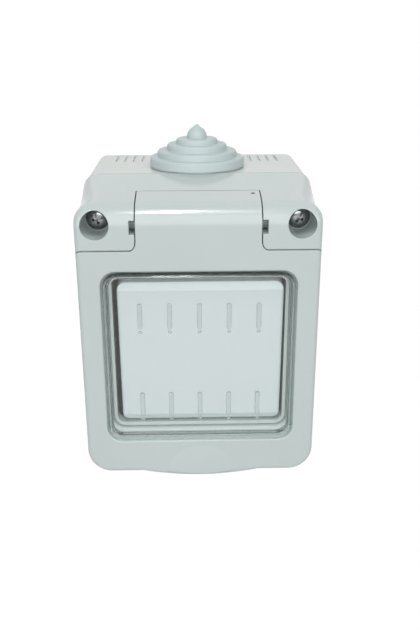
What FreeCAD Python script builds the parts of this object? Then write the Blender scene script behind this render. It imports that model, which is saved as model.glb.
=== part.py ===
import FreeCAD
import Part
import Sketcher
import os
import re
from FreeCAD import Placement, Rotation, Vector

# Surface mounted weatherproof switch, millimetres, +Z up.
# The wall is the plane Y = 0 and the front looks along -Y.
# "depth" in a name is the distance from the wall, so Y = -depth.

doc = FreeCAD.newDocument("weatherproof_switch")
sheet = doc.addObject("Spreadsheet::Sheet", "Sizes")

sizes = [
    # front cover
    ("cover_width", 70.0),
    ("cover_height", 89.2),
    ("cover_corner", 7.5),
    ("rear_round", 4.5),
    ("crest_round", 5.5),
    ("cover_rear", 37.0),
    ("cover_wall", 2.2),
    ("cover_depth", 26.0),
    ("lid_height", 8.5),
    ("top_slope", 11.2),
    ("barrel_radius", 6.5),
    ("edge_round", 1.5),
    ("ear_reach", 11.1),
    ("ear_radius", 9.1),
    ("ear_corner", 1.7),
    ("pocket_radius", 10.0),
    ("tongue_gap", 0.15),
    ("trough_wall", 2.0),
    ("collar_wall", 1.0),
    ("collar_rise", 1.7),
    ("hook_x", 15.0),
    ("hook_width", 7.0),
    ("hook_thickness", 1.8),
    ("hook_nub", 1.5),
    ("hook_fit", 0.2),
    ("hook_arm", 5.0),
    ("hook_root", 4.0),
    ("hook_nub_start", 2.0),
    ("hook_nub_length", 2.0),
    ("hook_room", 0.5),
    ("hook_bite", 0.4),
    # back box
    ("base_step", 1.0),
    ("base_top_step", 0.3),
    ("base_wall", 2.6),
    ("base_floor", 2.4),
    ("base_corner", 3.0),
    ("base_round", 0.8),
    ("spigot_wall", 1.4),
    ("spigot_length", 2.0),
    ("spigot_fit", 0.2),
    ("gasket_thickness", 1.5),
    ("boss_radius", 3.6),
    ("post_radius", 3.5),
    ("wall_hole_spacing", 60.0),
    ("wall_slot_width", 4.5),
    ("wall_slot_length", 8.0),
    ("groove_width", 0.8),
    ("groove_depth", 0.6),
    ("groove_spacing", 2.9),
    ("groove_clear", 3.0),
    ("groove_back", 1.5),
    ("groove_front", 14.0),
    ("knockout_radius", 10.0),
    ("knockout_groove", 0.8),
    ("knockout_drop", 12.0),
    ("knockout_depth", 21.0),
    # cable gland
    ("gland_depth", 24.0),
    ("gland_hole", 11.0),
    ("gland_fit", 0.05),
    ("gland_lip", 12.6),
    ("gland_lip_height", 1.6),
    ("gland_foot", 12.8),
    ("gland_foot_height", 0.6),
    ("ring_a_radius", 15.0),
    ("ring_b_radius", 12.65),
    ("ring_c_radius", 9.55),
    ("ring_d_radius", 6.6),
    ("ring_a_height", 2.9),
    ("ring_step", 1.98),
    ("ring_d_height", 1.65),
    ("ring_round", 0.7),
    ("gland_ball", 3.15),
    ("ball_lift", 0.35),
    ("point_radius", 1.67),
    ("point_end", 0.38),
    ("point_lift", 3.02),
    ("point_height", 1.2),
    ("gland_skin", 1.6),
    # cover screws
    ("screw_inset", 5.85),
    ("screw_lift", 0.6),
    ("well_radius", 4.05),
    ("well_sink", 2.3),
    ("pillar_radius", 5.6),
    ("head_radius", 3.5),
    ("head_height", 2.3),
    ("head_round", 1.3),
    ("shank_radius", 1.75),
    ("shank_length", 25.0),
    ("shank_fit", 0.35),
    ("thread_fit", 0.05),
    ("cross_width", 0.9),
    ("cross_length", 3.6),
    ("cross_depth", 1.5),
    # lid
    ("lid_gap", 0.3),
    ("lid_wall", 2.2),
    ("skirt_wall", 2.0),
    ("pin_radius", 1.9),
    ("pin_length", 3.0),
    ("pin_fit", 0.08),
    ("notch_width", 1.5),
    ("lip_width", 36.0),
    ("lip_drop", 1.8),
    ("lip_thickness", 4.5),
    ("bulge_radius", 11.0),
    ("bulge_rise", 1.0),
    # window
    ("window_side", 6.6),
    ("window_above", 23.4),
    ("window_below", 11.1),
    ("opening_corner", 4.5),
    ("opening_round", 0.5),
    ("window_fit", 0.1),
    ("window_wall", 1.0),
    ("window_rise", 0.8),
    ("window_round", 1.5),
    ("flange_margin", 1.4),
    ("flange_thickness", 1.2),
    ("rib_spacing", 8.65),
    ("rib_row", 14.2),
    ("rib_width", 1.6),
    ("rib_length", 8.0),
    ("rib_rise", 0.5),
    ("retainer_thickness", 1.5),
    ("retainer_fit", 0.2),
    ("seal_gap", 0.1),
    ("seal_width", 1.7),
    # rocker
    ("mech_shift", 0.4),
    ("pivot_sink", 4.5),
    ("rocker_side", 3.8),
    ("rocker_end", 4.25),
    ("rocker_clear", 5.2),
    ("rocker_wall", 2.2),
    ("rocker_skirt", 6.0),
    ("rocker_corner", 2.5),
    ("rocker_round", 1.0),
    ("rocker_brow", 2.2),
    ("rocker_brow_depth", 1.2),
    ("rocker_gap", 1.2),
    ("rocker_tilt", 3.0),
    ("lug_half", 4.0),
    ("lug_back", 2.5),
    ("pivot_radius", 1.5),
    ("pivot_fit", 0.08),
    ("pivot_length", 3.0),
    ("tube_radius", 3.2),
    ("plunger_radius", 1.9),
    ("plunger_fit", 0.1),
    ("plunger_gap", 0.4),
    ("plunger_length", 8.7),
    ("plunger_reach", 4.7),
    ("spring_radius", 1.4),
    ("spring_wire", 0.25),
    ("spring_pitch", 1.25),
    ("spring_seat", 0.05),
    # contact block and cradle
    ("block_side", 3.1),
    ("block_end", 2.1),
    ("block_thickness", 16.0),
    ("block_corner", 1.5),
    ("room_corner", 1.0),
    ("pivot_rise", 5.0),
    ("block_wall", 2.0),
    ("cradle_plate", 2.0),
    ("cradle_hole", 7.0),
    ("cheek_inset", 0.5),
    ("cheek_wall", 2.2),
    ("cheek_top", 2.4),
    ("lug_reach", 7.0),
    ("lug_thickness", 3.0),
    ("fixing_offset", 3.6),
    ("fixing_radius", 1.5),
    ("fixing_fit", 0.2),
    ("fixing_head", 2.8),
    ("fixing_head_height", 1.8),
    ("fixing_round", 0.9),
    ("fixing_length", 13.0),
    # contacts
    ("blade_sink", 8.0),
    ("blade_half_width", 2.6),
    ("blade_thickness", 0.8),
    ("blade_overhang", 2.0),
    ("blade_clear", 2.5),
    ("blade_tilt", 4.5),
    ("trunnion_radius", 0.8),
    ("trunnion_fit", 0.06),
    ("fork_inner", 3.2),
    ("plate_thickness", 1.0),
    ("fork_half", 2.5),
    ("fork_top", 1.2),
    ("tip_radius", 1.6),
    ("tip_height", 0.8),
    ("tip_inset", 4.0),
    ("contact_gap", 0.25),
    ("shelf_width", 6.0),
    ("shelf_inset", 3.0),
    ("bend_overlap", 0.2),
    ("clamp_half", 3.5),
    ("clamp_length", 7.0),
    ("clamp_height", 8.0),
    ("clamp_end_gap", 0.5),
    ("load_clamp_x", 9.5),
    ("wire_radius", 1.8),
    ("wire_entry", 2.3),
    ("clamp_screw_radius", 1.7),
    ("clamp_screw_head", 2.6),
    ("clamp_screw_head_height", 1.8),
    ("clamp_screw_length", 3.2),
    ("clamp_screw_rise", 5.0),
    ("clamp_hole_spare", 0.3),
    ("driver_clear", 0.4),
    ("driver_slot", 0.8),
    ("driver_slot_depth", 0.8),
    # how far a cutting shape runs past the face it opens
    ("over", 1.0),
]

derived = [
    ("half_width", "cover_width / 2"),
    ("half_height", "cover_height / 2"),
    ("lid_front", "cover_rear + cover_depth"),
    ("panel_front", "lid_front - lid_height"),
    ("panel_inner", "panel_front - cover_wall"),
    ("collar_front", "panel_front + collar_rise"),
    ("base_half_width", "half_width - base_step"),
    ("base_half_height", "half_height - base_top_step"),
    ("inner_half_width", "base_half_width - base_wall"),
    ("inner_half_height", "base_half_height - base_wall"),
    ("inner_corner", "base_corner - base_wall"),
    ("base_depth", "cover_rear + spigot_length"),
    ("gasket_front", "base_depth + gasket_thickness"),
    ("hinge_depth", "lid_front - barrel_radius"),
    ("tangent_depth", "hinge_depth + barrel_radius * sin(top_slope)"),
    ("hinge_z", "half_height - barrel_radius * cos(top_slope)"
                " - (tangent_depth - cover_rear) * tan(top_slope)"),
    ("tangent_z", "hinge_z + barrel_radius * cos(top_slope)"),
    ("wall_drop", "cover_wall / cos(top_slope)"),
    ("opening_width", "cover_width - window_side * 2"),
    ("opening_height", "cover_height - window_above - window_below"),
    ("window_z", "window_below + opening_height / 2 - half_height"),
    ("screw_x", "half_width - screw_inset"),
    ("screw_z", "hinge_z + screw_lift"),
    ("well_floor", "panel_front - well_sink"),
    ("ear_inner", "screw_x - ear_reach"),
    ("groove_start", "ring_a_radius + groove_clear"),
    ("pin_bore", "pin_radius + pin_fit"),
    ("lid_rear", "panel_front + lid_gap"),
    ("lid_inner", "lid_front - lid_wall"),
    ("tongue_half", "ear_inner - lid_gap"),
    ("lid_cavity_top", "hinge_z - ear_radius - lid_gap - skirt_wall"),
    ("lid_cavity_low", "skirt_wall - half_height"),
    ("lip_back", "lid_front - lip_thickness"),
    ("window_front", "lid_front + window_rise"),
    ("clear_half_width", "opening_width / 2 - window_fit - window_wall"),
    ("clear_half_height", "opening_height / 2 - window_fit - window_wall"),
    ("clear_corner", "opening_corner - window_fit - window_wall"),
    ("flange_rear", "lid_inner - flange_thickness"),
    ("retainer_rear", "flange_rear - retainer_thickness"),
    ("pivot_depth", "panel_front - pivot_sink"),
    ("rocker_width", "opening_width - rocker_side * 2"),
    ("rocker_height", "opening_height - rocker_end * 2"),
    ("rocker_face", "window_front - window_wall - rocker_clear - pivot_depth"),
    ("hatch_half_width", "rocker_width / 2 + rocker_gap"),
    ("hatch_half_height", "rocker_height / 2 + rocker_gap"),
    ("collar_half_width", "hatch_half_width + collar_wall"),
    ("collar_half_height", "hatch_half_height + collar_wall"),
    ("pilot_radius", "shank_radius + thread_fit"),
    ("block_half_width", "rocker_width / 2 - block_side"),
    ("block_half_height", "rocker_height / 2 - block_end"),
    ("block_front", "pivot_depth - pivot_rise"),
    ("block_rear", "block_front - block_thickness"),
    ("block_floor", "block_rear + block_wall"),
    ("cheek_outer", "block_half_width - cheek_inset"),
    ("blade_depth", "block_front - blade_sink"),
    ("plunger_tip", "pivot_depth - blade_depth - blade_thickness / 2 - plunger_gap"),
    ("plunger_top", "plunger_tip - plunger_length"),
    ("tube_back", "plunger_tip - plunger_reach"),
    ("fixing_x", "block_half_width + fixing_offset"),
    ("plate_front", "block_floor + plate_thickness"),
    ("clamp_end", "block_half_height - block_wall - clamp_end_gap"),
    ("shelf_low", "clamp_end - shelf_inset"),
    ("shelf_high", "shelf_low - shelf_width"),
    ("tip_low", "shelf_low - tip_inset"),
    ("blade_low", "tip_low + blade_overhang"),
    ("blade_high", "clamp_end - clamp_length - blade_clear"),
]

aliases = set()
word = re.compile(r"[a-z_]+")


def prefixed(formula):
    def swap(match):
        name = match.group()
        return "Sizes." + name if name in aliases else name
    return word.sub(swap, formula)


def bind(item, prop, formula):
    item.setExpression(prop, prefixed(formula))


def value(alias):
    return float(sheet.get(alias))


row = 1
for name, number in sizes:
    sheet.set("A%d" % row, name.replace("_", " "))
    sheet.set("B%d" % row, str(number))
    sheet.setAlias("B%d" % row, name)
    aliases.add(name)
    row += 1
for name, formula in derived:
    sheet.set("A%d" % row, name.replace("_", " "))
    sheet.set("B%d" % row, "=" + formula)
    sheet.setAlias("B%d" % row, name)
    aliases.add(name)
    row += 1
doc.recompute()


def box(name, x, depth, z):
    item = doc.addObject("Part::Box", name)
    bind(item, "Length", "(%s) - (%s)" % (x[1], x[0]))
    bind(item, "Width", "(%s) - (%s)" % (depth[1], depth[0]))
    bind(item, "Height", "(%s) - (%s)" % (z[1], z[0]))
    bind(item, "Placement.Base.x", x[0])
    bind(item, "Placement.Base.y", "-(%s)" % depth[1])
    bind(item, "Placement.Base.z", z[0])
    return item


def rod(name, radius, start, height, turn):
    item = doc.addObject("Part::Cylinder", name)
    item.Placement = Placement(Vector(0, 0, 0), turn)
    bind(item, "Radius", radius)
    bind(item, "Height", height)
    bind(item, "Placement.Base.x", start[0])
    bind(item, "Placement.Base.y", start[1])
    bind(item, "Placement.Base.z", start[2])
    return item


def rod_out(name, radius, x, z, depth):
    turn = Rotation(Vector(1, 0, 0), 90)
    start = (x, "-(%s)" % depth[0], z)
    return rod(name, radius, start, "(%s) - (%s)" % (depth[1], depth[0]), turn)


def rod_across(name, radius, x, depth, z):
    turn = Rotation(Vector(0, 1, 0), 90)
    start = (x[0], "-(%s)" % depth, z)
    return rod(name, radius, start, "(%s) - (%s)" % (x[1], x[0]), turn)


def rod_up(name, radius, x, depth, z):
    start = (x, "-(%s)" % depth, z[0])
    return rod(name, radius, start, "(%s) - (%s)" % (z[1], z[0]), Rotation())


def eased(name, source, radius_at, wanted):
    doc.recompute()
    picks = []
    for number, edge in enumerate(source.Shape.Edges, 1):
        if wanted(edge):
            first = radius_at(edge.firstVertex().Point)
            last = radius_at(edge.lastVertex().Point)
            picks.append((number, first, last))
    item = doc.addObject("Part::Fillet", name)
    item.Base = source
    item.Edges = picks
    return item


def rounded(name, source, radius, wanted):
    return eased(name, source, lambda point: radius, wanted)


def runs_out(edge):
    box_of = edge.BoundBox
    return box_of.XLength < 0.01 and box_of.ZLength < 0.01 and box_of.YLength > 0.01


def at_depth(depth):
    def test(edge):
        box_of = edge.BoundBox
        return abs(box_of.YMin + depth) < 0.01 and abs(box_of.YMax + depth) < 0.01
    return test


def rounded_box(name, x, depth, z, corner):
    return rounded(name, box(name + "_block", x, depth, z), corner, runs_out)


def framed(name, half_width, half_height, depth, corner, x="0", z="0"):
    across = ("%s - (%s)" % (x, half_width), "%s + %s" % (x, half_width))
    up = ("%s - (%s)" % (z, half_height), "%s + %s" % (z, half_height))
    return rounded_box(name, across, depth, up, corner)


def fuse(name, pieces):
    item = doc.addObject("Part::MultiFuse", name)
    item.Shapes = pieces
    item.Refine = True
    return item


def common(name, pieces):
    item = doc.addObject("Part::MultiCommon", name)
    item.Shapes = pieces
    return item


def cut(name, source, tools):
    item = doc.addObject("Part::Cut", name)
    item.Base = source
    item.Tool = tools[0] if len(tools) == 1 else fuse(name + "_tools", tools)
    item.Refine = True
    return item


def group(name, pieces):
    item = doc.addObject("Part::Compound", name)
    item.Links = pieces
    return item


def profile(name, points, x):
    sketch = doc.addObject("Sketcher::SketchObject", name + "_sketch")
    sketch.Placement = Placement(Vector(0, 0, 0), Rotation(Vector(1, 1, 1), 120))
    bind(sketch, "Placement.Base.x", x[0])
    count = len(points)
    rough = []
    for number in range(count):
        spin = Rotation(Vector(0, 0, 1), 360.0 * number / count)
        rough.append(spin.multVec(Vector(value("half_width"), 0, 0)))
    for number in range(count):
        sketch.addGeometry(Part.LineSegment(rough[number], rough[(number + 1) % count]), False)
    for number in range(count):
        after = (number + 1) % count
        sketch.addConstraint(Sketcher.Constraint("Coincident", number, 2, after, 1))
    for number, (depth, z) in enumerate(points):
        spot = rough[number]
        place = sketch.addConstraint(Sketcher.Constraint("DistanceX", -1, 1, number, 1, spot.x))
        bind(sketch, "Constraints[%d]" % place, "-(%s)" % depth)
        place = sketch.addConstraint(Sketcher.Constraint("DistanceY", -1, 1, number, 1, spot.y))
        bind(sketch, "Constraints[%d]" % place, z)
    item = doc.addObject("Part::Extrusion", name)
    item.Base = sketch
    item.DirMode = "Custom"
    item.Dir = Vector(1, 0, 0)
    bind(item, "LengthFwd", "(%s) - (%s)" % (x[1], x[0]))
    item.Solid = True
    return item


def slot(name, x, z, width, length, depth):
    ends = "(%s - %s) / 2" % (length, width)
    across = ("%s - %s / 2" % (x, width), "%s + %s / 2" % (x, width))
    up = ("%s - %s" % (z, ends), "%s + %s" % (z, ends))
    pieces = [box(name + "_mid", across, depth, up)]
    pieces.append(rod_out(name + "_low", "%s / 2" % width, x, up[0], depth))
    pieces.append(rod_out(name + "_top", "%s / 2" % width, x, up[1], depth))
    return fuse(name, pieces)


def settle(item, label, where=None, tilt=None):
    item.Label = label
    if where:
        bind(item, "Placement.Base.x", where[0])
        bind(item, "Placement.Base.y", "-(%s)" % where[1])
        bind(item, "Placement.Base.z", where[2])
    if tilt:
        bind(item, "Placement.Rotation.Axis.x", "1")
        bind(item, "Placement.Rotation.Axis.z", "0")
        bind(item, "Placement.Rotation.Angle", tilt)
    nodes.append(item)
    return item


nodes = []
sides = (("left", "-"), ("right", ""))

# back box: tray with a spigot that enters the cover, screw bosses and posts
base_outer = framed("base_outer", "base_half_width", "base_half_height", ("0", "cover_rear"),
                    value("base_corner"))
base_outer = rounded("base_soft", base_outer, value("base_round"), at_depth(0))
base_spigot = framed("base_spigot", "inner_half_width + spigot_wall", "inner_half_height + spigot_wall",
                     ("base_floor", "base_depth"), value("inner_corner") + value("spigot_wall"))
base_hollow = framed("base_hollow", "inner_half_width", "inner_half_height",
                     ("base_floor", "base_depth + over"), value("inner_corner"))
base_inside = []
base_holes = []
for side, sign in sides:
    base_inside.append(rod_out("boss_" + side, "boss_radius", sign + "screw_x", "screw_z",
                               ("base_floor / 2", "base_depth")))
    base_inside.append(rod_out("post_" + side, "post_radius", "mech_shift + %s1 * fixing_x" % sign,
                               "window_z", ("base_floor / 2", "block_rear")))
    base_holes.append(rod_out("boss_hole_" + side, "pilot_radius", sign + "screw_x", "screw_z",
                              ("well_floor - shank_length - over", "base_depth + over")))
    base_holes.append(rod_out("post_hole_" + side, "fixing_radius + thread_fit",
                              "mech_shift + %s1 * fixing_x" % sign, "window_z",
                              ("block_rear + lug_thickness - fixing_length - over", "block_rear + over")))
    base_holes.append(box("hook_window_" + side,
                          ("%shook_x - hook_width / 2 - hook_fit * 2" % sign,
                           "%shook_x + hook_width / 2 + hook_fit * 2" % sign),
                          ("cover_rear - hook_nub_start - hook_nub_length - hook_room",
                           "cover_rear - hook_nub_start + hook_room"),
                          ("-base_half_height - over", "-inner_half_height + over")))
    for number in range(4):
        groove_x = "%s1 * (groove_start + %d * groove_spacing)" % (sign, number)
        base_holes.append(box("groove_%s_%d" % (side, number),
                              (groove_x + " - groove_width / 2", groove_x + " + groove_width / 2"),
                              ("groove_back", "groove_front"),
                              ("base_half_height - groove_depth", "base_half_height + over")))
base_holes.append(rod_up("gland_port", "gland_hole", "0", "gland_depth",
                         ("inner_half_height - over", "base_half_height + over")))
for name, sign in (("low", "-"), ("high", "")):
    base_holes.append(slot("wall_slot_" + name, "0", sign + "wall_hole_spacing / 2", "wall_slot_width",
                           "wall_slot_length", ("-over", "base_floor + over")))
knock_outer = rod_up("knock_outer", "knockout_radius", "0", "knockout_depth",
                     ("-base_half_height - over", "-base_half_height + groove_depth"))
knock_inner = rod_up("knock_inner", "knockout_radius - knockout_groove", "0", "knockout_depth",
                     ("-base_half_height - over * 2", "-base_half_height + groove_depth + over"))
base_holes.append(cut("knock_low", knock_outer, [knock_inner]))
rear_outer = rod_out("rear_outer", "knockout_radius", "0", "-knockout_drop", ("-over", "groove_depth"))
rear_inner = rod_out("rear_inner", "knockout_radius - knockout_groove", "0", "-knockout_drop",
                     ("-over * 2", "groove_depth + over"))
base_holes.append(cut("knock_rear", rear_outer, [rear_inner]))
base_tray = cut("base_tray", fuse("base_block", [base_outer, base_spigot]), [base_hollow])
base_full = fuse("base_full", [base_tray] + base_inside)
settle(cut("base_cut", base_full, base_holes), "base_box")

# gasket on the front of the spigot
gasket_outer = framed("gasket_outer", "inner_half_width + spigot_wall",
                      "inner_half_height + spigot_wall", ("base_depth", "gasket_front"),
                      value("inner_corner") + value("spigot_wall"))
gasket_inner = framed("gasket_inner", "inner_half_width", "inner_half_height",
                      ("base_depth - over", "gasket_front + over"), value("inner_corner"))
settle(cut("gasket_cut", gasket_outer, [gasket_inner]), "base_gasket")

# cable gland: stepped cone with a closed nipple, hollow below, groove over the box wall
ring_starts = ["base_half_height + gland_foot_height",
               "base_half_height + gland_foot_height + ring_a_height",
               "base_half_height + gland_foot_height + ring_a_height + ring_step",
               "base_half_height + gland_foot_height + ring_a_height + ring_step * 2"]
ring_ends = ring_starts[1:] + [ring_starts[3] + " + ring_d_height"]
gland_pieces = []
gland_cores = []
for number, ring in enumerate(("ring_a", "ring_b", "ring_c", "ring_d")):
    body = rod_up(ring + "_body", ring + "_radius", "0", "gland_depth",
                  (ring_starts[number], ring_ends[number]))
    doc.recompute()
    high = body.Shape.BoundBox.ZMax

    def crest(edge, high=high):
        return abs(edge.BoundBox.ZMin - high) < 0.01 and abs(edge.BoundBox.ZMax - high) < 0.01

    gland_pieces.append(rounded(ring + "_soft", body, value("ring_round"), crest))
    start = ring_starts[number] + " - gland_skin - over"
    core = ring + "_radius - gland_skin"
    if number == 0:
        start = "inner_half_height - gland_lip_height - over"
        core = "gland_hole - gland_skin"
    gland_cores.append(rod_up(ring + "_core", core, "0", "gland_depth",
                              (start, ring_ends[number] + " - gland_skin")))
gland_pieces.append(rod_up("gland_neck", "gland_hole - gland_fit", "0", "gland_depth",
                           ("inner_half_height - gland_lip_height", ring_ends[0] + " - over")))
gland_pieces.append(rod_up("gland_inner_lip", "gland_lip", "0", "gland_depth",
                           ("inner_half_height - gland_lip_height", "inner_half_height")))
gland_pieces.append(rod_up("gland_foot_ring", "gland_foot", "0", "gland_depth",
                           ("base_half_height", ring_starts[0] + " + over")))
ball = doc.addObject("Part::Sphere", "gland_nipple")
bind(ball, "Radius", "gland_ball")
bind(ball, "Placement.Base.y", "-gland_depth")
bind(ball, "Placement.Base.z", ring_ends[3] + " + ball_lift")
gland_pieces.append(ball)
point = doc.addObject("Part::Cone", "gland_point")
bind(point, "Radius1", "point_radius")
bind(point, "Radius2", "point_end")
bind(point, "Height", "point_height")
bind(point, "Placement.Base.y", "-gland_depth")
bind(point, "Placement.Base.z", ring_ends[3] + " + point_lift")
gland_pieces.append(point)
settle(cut("gland_cut", fuse("gland_full", gland_pieces), gland_cores), "cable_gland")

# side view of the cover: sloping top, round barrel over the hinge axis, flat front
far = ("-half_width - over", "half_width + over")


def side_view(name, x, inset):
    lowered = "wall_drop * %s" % inset
    rear = "cover_rear - over"
    points = [
        (rear, "-half_height - 2 * over"),
        (rear, "half_height + over * tan(top_slope) - " + lowered),
        ("tangent_depth - cover_wall * sin(top_slope) * %s" % inset,
         "tangent_z - cover_wall * cos(top_slope) * %s" % inset),
        ("hinge_depth", "hinge_z"),
        ("lid_front - cover_wall * %s" % inset, "hinge_z"),
        ("lid_front - cover_wall * %s" % inset, "-half_height - 2 * over"),
    ]
    slab = profile(name + "_slab", points, x)
    barrel = rod_across(name + "_barrel", "barrel_radius - cover_wall * %s" % inset, x,
                        "hinge_depth", "hinge_z")
    return fuse(name, [slab, barrel])


# front cover
cover_block = box("cover_box", ("-half_width", "half_width"), ("cover_rear", "lid_front + over"),
                  ("-half_height", "half_height"))
cover_block = rounded("cover_block", cover_block, value("cover_corner"),
                      lambda edge: runs_out(edge) and edge.BoundBox.ZMax < 0)


def crest_radius(point):
    # the long upper edges widen towards the hinge and run out down the front
    if -point.y > value("lid_front") - 0.01:
        return value("edge_round")
    if -point.y > value("hinge_depth"):
        return value("crest_round")
    return value("rear_round")


def crest_edge(edge):
    span = edge.BoundBox
    rear = -span.YMin < value("cover_rear")
    low = span.ZMax < -value("half_height")
    return span.XLength < 0.01 and not rear and not low


cover_side = eased("cover_crest", side_view("cover_side", ("-half_width", "half_width"), "0"),
                   crest_radius, crest_edge)
cover_keep = [box("cover_behind", far, ("cover_rear", "panel_front"),
                  ("-half_height - over", "half_height + over"))]
ear_low = value("ear_inner")
for side, sign in sides:
    reach = ("ear_inner", "half_width + over")
    if sign:
        reach = ("-half_width - over", "-ear_inner")
    body = rod_across("ear_body_" + side, "ear_radius", reach, "hinge_depth", "hinge_z")
    edge_at = -ear_low if sign else ear_low

    def inner_rim(edge, edge_at=edge_at):
        return abs(edge.BoundBox.XMin - edge_at) < 0.01 and abs(edge.BoundBox.XMax - edge_at) < 0.01

    cover_keep.append(rounded("ear_" + side, body, value("ear_corner"), inner_rim))
cover_outer = common("cover_outer", [cover_block, cover_side, fuse("cover_zone", cover_keep)])
hollow_side = profile("hollow_side", [
    ("gasket_front", "-inner_half_height"),
    ("gasket_front", "inner_half_height"),
    ("cover_rear + (half_height - inner_half_height - wall_drop) / tan(top_slope)", "inner_half_height"),
    ("panel_inner", "half_height - (panel_inner - cover_rear) * tan(top_slope) - wall_drop"),
    ("panel_inner", "-inner_half_height"),
], ("-inner_half_width - over", "inner_half_width + over"))
hollow_plan = framed("hollow_plan", "inner_half_width", "inner_half_height",
                     ("gasket_front - over", "lid_front"), value("inner_corner"))
hollow_keep = [rod_across("trough", "pocket_radius + trough_wall",
                          ("-ear_inner - trough_wall", "ear_inner + trough_wall"),
                          "hinge_depth", "hinge_z")]
for side, sign in sides:
    hollow_keep.append(rod_out("pillar_" + side, "pillar_radius", sign + "screw_x", "screw_z",
                               ("gasket_front - over", "lid_front")))
cover_cuts = [cut("cover_hollow", common("hollow_shape", [hollow_side, hollow_plan]), hollow_keep)]
cover_cuts.append(framed("cover_recess", "inner_half_width + spigot_wall + spigot_fit",
                         "inner_half_height + spigot_wall + spigot_fit",
                         ("cover_rear - over", "gasket_front"),
                         value("inner_corner") + value("spigot_wall") + value("spigot_fit")))
cover_cuts.append(rod_across("tongue_pocket", "pocket_radius", ("-ear_inner", "ear_inner"),
                             "hinge_depth", "hinge_z"))
for side, sign in sides:
    cover_cuts.append(rod_out("well_" + side, "well_radius", sign + "screw_x", "screw_z",
                              ("well_floor", "lid_front + over")))
    cover_cuts.append(rod_out("screw_way_" + side, "shank_radius + shank_fit", sign + "screw_x",
                              "screw_z", ("gasket_front - over", "well_floor + over")))
    deep = "ear_inner + pin_length + pin_fit * 3"
    wide = "ear_inner + notch_width"
    bore = ("ear_inner - over", deep)
    notch = ("ear_inner - over", wide)
    if sign:
        bore = ("-(%s)" % deep, "over - ear_inner")
        notch = ("-(%s)" % wide, "over - ear_inner")
    cover_cuts.append(rod_across("socket_" + side, "pin_bore", bore, "hinge_depth", "hinge_z"))
    cover_cuts.append(box("notch_" + side, notch, ("hinge_depth", "lid_front + over"),
                          ("hinge_z - pin_bore", "hinge_z + pin_bore")))
collar = framed("collar", "collar_half_width", "collar_half_height", ("panel_inner", "collar_front"),
                value("rocker_corner") + value("collar_wall"), z="window_z")
hatch = framed("hatch", "hatch_half_width", "hatch_half_height",
               ("panel_inner - over", "collar_front + over"), value("rocker_corner"), z="window_z")
cover_parts = [cut("cover_shell", cover_outer, cover_cuts), collar]
for side, sign in sides:
    across = ("%shook_x - hook_width / 2" % sign, "%shook_x + hook_width / 2" % sign)
    inner = "hook_fit - inner_half_height"
    cover_parts.append(box("hook_arm_" + side, across,
                           ("cover_rear - hook_arm", "gasket_front + hook_root"),
                           (inner, inner + " + hook_thickness")))
    cover_parts.append(box("hook_root_" + side, across, ("gasket_front", "gasket_front + hook_root"),
                           ("-inner_half_height - hook_bite", inner + " + hook_thickness")))
    cover_parts.append(box("hook_nub_" + side, across,
                           ("cover_rear - hook_nub_start - hook_nub_length", "cover_rear - hook_nub_start"),
                           (inner + " - hook_nub", inner + " + hook_bite")))
settle(cut("cover_cut", fuse("cover_full", cover_parts), [hatch]), "front_cover")


def cross_screw(name, head, head_height, soft, shank, length, seat, x, z):
    top = rod_out(name + "_head", head, x, z, (seat, "%s + %s" % (seat, head_height)))
    doc.recompute()
    front = -top.Shape.BoundBox.YMin
    top = rounded(name + "_dome", top, soft, at_depth(front))
    stem = rod_out(name + "_stem", shank, x, z, ("%s - %s" % (seat, length), "%s + over / 2" % seat))
    whole = fuse(name + "_whole", [top, stem])
    sink = ("%s + %s - cross_depth" % (seat, head_height), "%s + %s + over" % (seat, head_height))
    bar_a = box(name + "_bar_a", ("%s - cross_length / 2" % x, "%s + cross_length / 2" % x), sink,
                ("%s - cross_width / 2" % z, "%s + cross_width / 2" % z))
    bar_b = box(name + "_bar_b", ("%s - cross_width / 2" % x, "%s + cross_width / 2" % x), sink,
                ("%s - cross_length / 2" % z, "%s + cross_length / 2" % z))
    return cut(name, whole, [bar_a, bar_b])


screws = []
for side, sign in sides:
    screws.append(cross_screw("cover_screw_" + side, "head_radius", "head_height", value("head_round"),
                              "shank_radius", "shank_length", "well_floor", sign + "screw_x", "screw_z"))
settle(group("cover_screw_pair", screws), "cover_screws")

# hinged lid: shallow tray with a hollow tongue between the ears
lid_block = rounded_box("lid_block", ("-half_width", "half_width"), ("lid_rear", "lid_front"),
                        ("-half_height", "hinge_z"), value("cover_corner"))
lid_block = rounded("lid_soft", lid_block, value("edge_round"), at_depth(value("lid_front")))
tongue_span = ("-tongue_half", "tongue_half")
tongue_limit = rod_across("tongue_limit", "pocket_radius - tongue_gap", tongue_span,
                          "hinge_depth", "hinge_z")
tongue = common("tongue", [side_view("tongue_side", tongue_span, "0"), tongue_limit])
inside_span = ("-tongue_half + skirt_wall", "tongue_half - skirt_wall")
tongue_hollow = common("tongue_hollow", [
    side_view("tongue_inside", inside_span, "1"),
    box("tongue_room", inside_span, ("cover_rear - over", "lid_front"),
        ("lid_cavity_top + skirt_wall", "half_height")),
])
lip_radius = "(lip_width ^ 2 / 4 + lip_drop ^ 2) / (2 * lip_drop)"
lip_centre = "-half_height - lip_drop + " + lip_radius
lip_zone = ("-half_height - lip_drop - over", "-half_height + bulge_radius")
lip_span = ("-lip_width / 2", "lip_width / 2")
lip_disc = rod_out("lip_disc", lip_radius, "0", lip_centre, ("lip_back", "lid_front"))
lip_plate = common("lip_plate", [
    rounded("lip_round", lip_disc, value("edge_round"), at_depth(value("lid_front"))),
    box("lip_box", lip_span, ("lip_back", "lid_front"),
        ("-half_height - lip_drop - over", "-half_height + skirt_wall")),
])
ball = doc.addObject("Part::Sphere", "lip_ball")
ball_radius = "(bulge_radius ^ 2 + bulge_rise ^ 2) / (2 * bulge_rise)"
bind(ball, "Radius", ball_radius)
bind(ball, "Placement.Base.y", "-(lid_front + bulge_rise - %s)" % ball_radius)
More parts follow.
